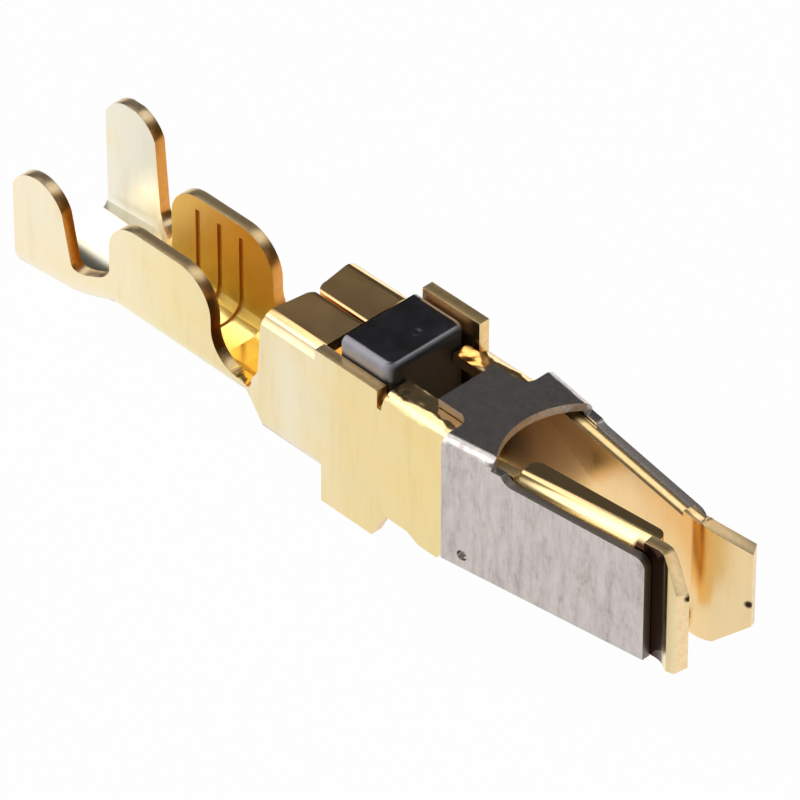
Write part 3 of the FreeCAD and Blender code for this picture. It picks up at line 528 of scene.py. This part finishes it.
def dark_latch():
    """Dark on top, greyer, rougher and less metallic the more a face turns aside, and black as painted shade
    to the front and down between the walls."""
    material, tree, shader = new_material("dark_latch")
    _, where, facing = place_and_facing(tree)
    wear = noise(tree, *WEAR_NOISE)
    top, side = ramp(tree, wear, LATCH_TOP_TONES), ramp(tree, wear, LATCH_SIDE_TONES)
    aside = spread(tree, facing["Z"], 1, 0, *LATCH_ASIDE)
    front = spread(tree, facing["X"], 0, 1, *LATCH_FRONT)
    # painted shade: black low down, between the walls of the box
    shaded_low = spread(tree, where["Z"], 1, 0, *LATCH_SHADE)
    dark = math_node(tree, "MAXIMUM", front, shaded_low)
    coloured = blended(tree, dark, blended(tree, aside, top, side), BLACK)
    tree.links.new(coloured, shader.inputs["Base Color"])
    polish = total_of(tree, spread(tree, wear, *LATCH_ROUGHNESS), product(tree, aside, SIDE_ROUGHNESS))
    tree.links.new(polish, shader.inputs["Roughness"])
    tree.links.new(spread(tree, aside, TOP_METALLIC, SIDE_METALLIC), shader.inputs["Metallic"])
    bump(tree, shader, wear, *WEAR_RELIEF)
    return material


FINISHES = {
    "contact_body": [plated, gold_edges],
    "spring_hood": [steel, steel_edges],
    "latch": [dark_latch()],
}
print("finishes:", {node: len(finishes) for node, finishes in FINISHES.items()})

# %% [markdown]
# ## Stamped edges
# The body and the hood are one folded strip each, with every bend, dent and cut-out already in the
# solids. They could be worked out again as surfaces, but a copy of the solid has the exact outline of the
# blank. The nodes arrive as loose flat triangles, so a copy is merged, its flat faces are joined again,
# and its edges are broken with a small bevel, because stamped and plated edges are never razor sharp and
# catch the light. Before that, numpy reads all face normals and centres at once, to tell the sheared
# faces from the rolled ones.

# %% which faces of the strip are sheared
INNER_WALL = [
    # station along the contact and inner wall to middle plane, in the frame's millimetres
    (-11.64, 1.42), (-9.79, 1.42), (-8.64, 0.90), (-4.89, 0.90), (-2.59, 1.345), (3.96, 1.345),
    (10.5, 0.43), (11.64, 1.08),
]
WALL_MARGIN = 0.01
LENGTHWAYS, UPRIGHT, NOT_SIDEWAYS = 0.6, 0.35, 0.2     # parts of a face's normal along the axes


def strip_edges(normals, centres):
    """Cut edges of the strip: faces that look along it, and faces in the walls that look up or down."""
    stations, walls = np.array(INNER_WALL).T
    wall = np.interp(centres[:, 0], stations, walls)
    in_wall = abs(centres[:, 1]) > wall - WALL_MARGIN
    upright = (abs(normals[:, 2]) > UPRIGHT) & (abs(normals[:, 1]) < NOT_SIDEWAYS)
    return (abs(normals[:, 0]) > LENGTHWAYS) | (in_wall & upright)


# %% which faces of the hood are sheared
DENT, DENT_REACH = (4.70, 1.46), 0.3     # station and height of the dents, in the frame's millimetres
ROOF_BOTTOM, TONGUE_MIDDLE_LEVEL, TONGUE_REACH = 4.5, 4.55, 1.2
HOOD_SIDEWAYS, HOOD_LENGTHWAYS, HOOD_UPRIGHT = 0.6, 0.5, 0.8


def hood_edges(normals, centres):
    """Cut edges of the hood: the sides of its tongue, faces that look along it, and faces below the roof that
    look up or down. The dents in the blades are pressed, not cut."""
    high = centres[:, 2] > TONGUE_MIDDLE_LEVEL
    tongue_side = (abs(normals[:, 1]) > HOOD_SIDEWAYS) & (abs(centres[:, 1]) < TONGUE_REACH) & high
    in_dent = np.hypot(centres[:, 0] - DENT[0], centres[:, 2] - DENT[1]) < DENT_REACH
    lengthways = abs(normals[:, 0]) > HOOD_LENGTHWAYS
    upright = (abs(normals[:, 2]) > HOOD_UPRIGHT) & (centres[:, 2] < ROOF_BOTTOM)
    return tongue_side | ((lengthways | upright) & ~in_dent)


CUT_EDGES = {"contact_body": strip_edges, "spring_hood": hood_edges}


# %% smooth copies of the nodes
EDGE_BREAK = {"contact_body": 0.035, "spring_hood": 0.03}
MERGE = 0.0004 * MM
FLAT = math.radians(0.5)
SMOOTH = math.radians(32)
BEVEL_SEGMENTS = 3
FLAT_FACES_WEIGHT = 80


def stand_for(piece, node):
    """Let a piece take the place of a node: hide the node and attach the piece to the root body."""
    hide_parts(node)
    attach(piece, "root")


def new_piece(name, mesh):
    """A smoothly shaded object at the origin."""
    mesh.shade_smooth()
    piece = bpy.data.objects.new(name, mesh)
    bpy.context.scene.collection.objects.link(piece)
    return piece


def break_edges(piece, width, angle):
    """Round every edge sharper than an angle, and keep the shading of flat faces flat."""
    bevel = piece.modifiers.new("edge_break", "BEVEL")
    bevel.width = width * MM
    bevel.segments = BEVEL_SEGMENTS
    bevel.limit_method = "ANGLE"
    bevel.angle_limit = angle
    normals = piece.modifiers.new("flat_faces_stay_flat", "WEIGHTED_NORMAL")
    normals.weight = FLAT_FACES_WEIGHT


def merged_mesh(node):
    """The node's mesh with its doubles merged and its flat faces joined."""
    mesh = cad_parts[node].data.copy()
    build = bmesh.new()
    build.from_mesh(mesh)
    bmesh.ops.remove_doubles(build, verts=build.verts, dist=MERGE)
    bmesh.ops.dissolve_limit(build, angle_limit=FLAT, verts=build.verts, edges=build.edges)
    build.to_mesh(mesh)
    build.free()
    return mesh


def dressed_copy(node):
    """A merged, bevelled and smoothly shaded copy of a node, with its cut edges in their own finish."""
    mesh = merged_mesh(node)
    mesh.materials.clear()
    for finish in FINISHES[node]:
        mesh.materials.append(finish)
    normals = np.empty(len(mesh.polygons) * 3)
    centres = np.empty(len(mesh.polygons) * 3)
    mesh.polygons.foreach_get("normal", normals)
    mesh.polygons.foreach_get("center", centres)
    cut = CUT_EDGES[node](normals.reshape(-1, 3), centres.reshape(-1, 3) / MM)
    mesh.polygons.foreach_set("material_index", cut.astype(np.int32))
    piece = new_piece(f"{node}_dressed", mesh)
    break_edges(piece, EDGE_BREAK[node], SMOOTH)
    stand_for(piece, node)
    print(piece.name, len(mesh.polygons), "faces,", int(cut.sum()), "of them on cut edges")


dressed_copy("contact_body")
dressed_copy("spring_hood")

# %% [markdown]
# ## Latch
# A small dark cap stands in the window of the box. Its plan is a rectangle with round front corners, its
# top edge is rounded, and a shallow round mark is pressed into its roof. It could be a box with bevels,
# but a grid of points gives the soft mark and the rounded edge in one surface. The plan is a core line
# pushed outwards, so that pushing it out less gives each smaller outline on the way up and over the
# rounded edge. The grid is the outer face only; Solidify gives the wall its thickness.

# %% sizes of the latch, in the drawing's millimetres
LATCH_START, LATCH_END, LATCH_HALF = 0.36, 2.10, 1.295
LATCH_FOOT, LATCH_TOP = 0.33, 4.3
LATCH_CORNER, LATCH_ROUND, LATCH_WALL = 0.35, 0.2, 0.18
LATCH_EDGE_BREAK, LATCH_SHARP = 0.02, math.radians(40)
MARK_CENTRE, MARK_RADIUS, MARK_DEPTH = (1.46, 0.16), 0.19, 0.014
MARK_FLAT_SHARE = 0.3      # of the mark's radius is its flat floor
MIDDLE_LINE_SHARE = 0.8    # of the way from the rear end to each point, so that the middle line ends short
SIDE_POINTS, CORNER_POINTS, FRONT_POINTS = 26, 12, 34
SIDE_ROWS, ROUND_ROWS, ROOF_ROWS = 12, 10, 43


# %% plan of the latch
def latch_plan():
    """The core line and the direction in which it is pushed out, from the near rear end round the front to
    the far rear end. Along the sides that is straight out, and round a front corner it turns by a quarter."""
    inner = LATCH_HALF - LATCH_CORNER
    front = LATCH_END - LATCH_CORNER
    along = np.linspace(LATCH_START, front, SIDE_POINTS)
    turn = np.linspace(0, math.pi / 2, CORNER_POINTS + 2)[1:-1]
    across = np.linspace(-inner, inner, FRONT_POINTS)
    core_x = np.concatenate([along, np.full(2 * CORNER_POINTS + FRONT_POINTS, front), along[::-1]])
    side_and_corner = SIDE_POINTS + CORNER_POINTS
    core_y = np.concatenate([np.full(side_and_corner, -inner), across, np.full(side_and_corner, inner)])
    near, far = np.full(SIDE_POINTS, -math.pi / 2), np.full(SIDE_POINTS, math.pi / 2)
    angle = np.concatenate([near, turn - math.pi / 2, np.zeros(FRONT_POINTS), turn, far])
    return core_x, core_y, np.cos(angle), np.sin(angle)


# %% surface of the latch
def smooth_step(value, start, end):
    """0 before start, 1 after end, and three squares less two cubes of the share between."""
    share = np.clip((value - start) / (end - start), 0, 1)
    return share * share * (3 - 2 * share)


def latch_cap():
    """Up the side, then inset r(1 - cos a) and height r sin a round the edge, then straight in to the middle
    line. The mark lowers the roof by its depth, less and less towards its radius."""
    core_x, core_y, out_x, out_y = latch_plan()
    turn = np.linspace(0, math.pi / 2, ROUND_ROWS)
    shoulder = LATCH_TOP - LATCH_ROUND
    upright = np.linspace(LATCH_FOOT, shoulder, SIDE_ROWS + 1)[:-1]
    height = np.concatenate([upright, shoulder + LATCH_ROUND * np.sin(turn)])[:, None]
    push = LATCH_CORNER - np.concatenate([np.zeros(SIDE_ROWS), LATCH_ROUND * (1 - np.cos(turn))])[:, None]
    side_x = core_x + push * out_x
    side = np.stack([side_x, core_y + push * out_y, np.broadcast_to(height, side_x.shape)], axis=-1)
    rim = side[-1]
    middle_x = LATCH_START + (core_x - LATCH_START) * MIDDLE_LINE_SHARE
    middle = np.stack([middle_x, core_x * 0, core_x * 0 + LATCH_TOP], axis=-1)
    share = np.linspace(0, 1, ROOF_ROWS + 1)[1:, None, None]
    roof = rim + (middle - rim) * share
    from_mark = np.hypot(roof[..., 0] - MARK_CENTRE[0], roof[..., 1] - MARK_CENTRE[1])
    floor_radius = MARK_RADIUS * MARK_FLAT_SHARE
    roof[..., 2] -= MARK_DEPTH * (1 - smooth_step(from_mark, floor_radius, MARK_RADIUS))
    return np.concatenate([side, roof])


# %% the latch
DOUBLES = 0.001 * MM


def sheet_mesh(name, points, finishes):
    """A mesh from a grid of points, in the drawing's millimetres: four neighbours make a face."""
    rows, columns = points.shape[:2]
    number = np.arange(rows * columns).reshape(rows, columns)
    corners = [number[:-1, :-1], number[:-1, 1:], number[1:, 1:], number[1:, :-1]]
    faces = np.stack(corners, axis=-1).reshape(-1, 4)
    mesh = bpy.data.meshes.new(name)
    in_frame = (points.reshape(-1, 3) + np.array(WORK_ORIGIN)) * MM
    mesh.from_pydata(in_frame.tolist(), [], faces.tolist())
    build = bmesh.new()
    build.from_mesh(mesh)
    bmesh.ops.remove_doubles(build, verts=build.verts, dist=DOUBLES)
    build.to_mesh(mesh)
    build.free()
    for finish in finishes:
        mesh.materials.append(finish)
    return mesh


latch = new_piece("latch_cap", sheet_mesh("latch_cap", latch_cap(), FINISHES["latch"]))
wall = latch.modifiers.new("gauge", "SOLIDIFY")
wall.thickness = LATCH_WALL * MM
wall.offset = -1
wall.use_even_offset = False
break_edges(latch, LATCH_EDGE_BREAK, LATCH_SHARP)
stand_for(latch, "latch")
first_normal = [round(v, 2) for v in latch.data.polygons[0].normal]
print("latch", len(latch.data.vertices), "vertices, first normal", first_normal)

# %% [markdown]
# ## Floor
# The camera looks down, so the whole background is the floor. A plain white plane would come out grey at
# the edges of the picture. This one shows its own white to the camera and to mirror rays, and keeps a
# small share of real paper, which carries the soft shadow of the contact.

# %% the floor
FLOOR_SIZE = 0.6
PAPER, PAPER_ROUGHNESS = (0.85, 0.85, 0.85, 1), 0.9
FLOOR_OWN_WHITE = {"Is Camera Ray": 0.98, "Is Glossy Ray": 0.93, "Is Transmission Ray": 0.93}


def white_floor():
    """White paper: mostly its own white to camera and mirror rays, the rest shaded by what stands on it."""
    material, tree, shader = new_material("white_floor")
    output = next(node for node in tree.nodes if node.type == "OUTPUT_MATERIAL")
    shader.inputs["Base Color"].default_value = PAPER
    shader.inputs["Roughness"].default_value = PAPER_ROUGHNESS
    path = tree.nodes.new("ShaderNodeLightPath")
    shares = [math_node(tree, "MULTIPLY", path.outputs[ray], white) for ray, white in FLOOR_OWN_WHITE.items()]
    share = shares[0]
    for other in shares[1:]:
        share = math_node(tree, "MAXIMUM", share, other)
    glow = tree.nodes.new("ShaderNodeEmission")
    glow.inputs["Color"].default_value = (1, 1, 1, 1)
    glow.inputs["Strength"].default_value = 1.0
    mixed = tree.nodes.new("ShaderNodeMixShader")
    tree.links.new(share, mixed.inputs["Fac"])
    tree.links.new(shader.outputs["BSDF"], mixed.inputs[1])
    tree.links.new(glow.outputs["Emission"], mixed.inputs[2])
    tree.links.new(mixed.outputs["Shader"], output.inputs["Surface"])
    return material


floor_mesh = bpy.data.meshes.new("floor")
half = FLOOR_SIZE / 2
floor_corners = [(-half, -half, 0), (half, -half, 0), (half, half, 0), (-half, half, 0)]
floor_mesh.from_pydata(floor_corners, [], [(0, 1, 2, 3)])
floor_mesh.materials.append(white_floor())
floor = bpy.data.objects.new("floor", floor_mesh)
bpy.context.scene.collection.objects.link(floor)
print("floor", FLOOR_SIZE, "m wide")

# %% [markdown]
# ## Room
# Metal shows what stands around it. Each kind of face, turned about the line of sight, mirrors one
# direction of the room: upright near faces mirror the floor, upward faces a spot behind and above, and
# each bend sweeps from one to the other. So the room is dark, with one soft light in each direction where
# the picture has a bright bend, and none where it has the dark tops of the hood and the latch. Lamps
# could do this too, but a disc of directions in the world has a smooth edge and no place of its own that
# could show up in the picture.

# %% the room
ROOM_DARK = 0.06
SOFTBOXES = [
    # direction, half angle of full light, half angle where it ends, radiance
    ((-0.60, -0.80, 0.12), 14, 26, 1.4),
    ((-0.58, -0.55, 0.60), 20, 30, 2.3),
    ((-0.55, 0.00, 0.82), 15, 22, 1.5),
    ((0.12, 0.52, 0.85), 15, 22, 1.0),
    ((0.45, -0.85, 0.30), 20, 40, 0.5),
    ((0.85, 0.10, 0.52), 8, 20, 0.6),
    ((-0.56, 0.83, 0.08), 11, 18, 1.4),
]


def softbox(tree, place, direction, full, edge, radiance):
    """The cosine of the angle between a direction and the light's, stepped smoothly from edge to full."""
    facing = tree.nodes.new("ShaderNodeVectorMath")
    facing.operation = "DOT_PRODUCT"
    facing.inputs[1].default_value = Vector(direction).normalized()
    tree.links.new(place, facing.inputs[0])
    disc = tree.nodes.new("ShaderNodeMapRange")
    disc.interpolation_type = "SMOOTHSTEP"
    disc.inputs["From Min"].default_value = math.cos(math.radians(edge))
    disc.inputs["From Max"].default_value = math.cos(math.radians(full))
    disc.inputs["To Min"].default_value = 0.0
    disc.inputs["To Max"].default_value = radiance
    tree.links.new(facing.outputs["Value"], disc.inputs["Value"])
    return disc.outputs["Result"]


def studio_room():
    """A dark room with soft lights. In each direction the brightest of them counts, or else the dark."""
    world = bpy.data.worlds.new("room")
    world.use_nodes = True
    tree = world.node_tree
    background = next(node for node in tree.nodes if node.type == "BACKGROUND")
    place = tree.nodes.new("ShaderNodeTexCoord").outputs["Generated"]
    brightest = ROOM_DARK
    for light in SOFTBOXES:
        brightest = math_node(tree, "MAXIMUM", brightest, softbox(tree, place, *light))
    tree.links.new(brightest, background.inputs["Color"])
    background.inputs["Strength"].default_value = 1.0
    bpy.context.scene.world = world


studio_room()
print("room with", len(SOFTBOXES), "soft lights")

# %% [markdown]
# ## View
# The Standard view shows the colours as they are worked out, which suits a product on white.

# %% the view
bpy.context.scene.view_settings.view_transform = "Standard"
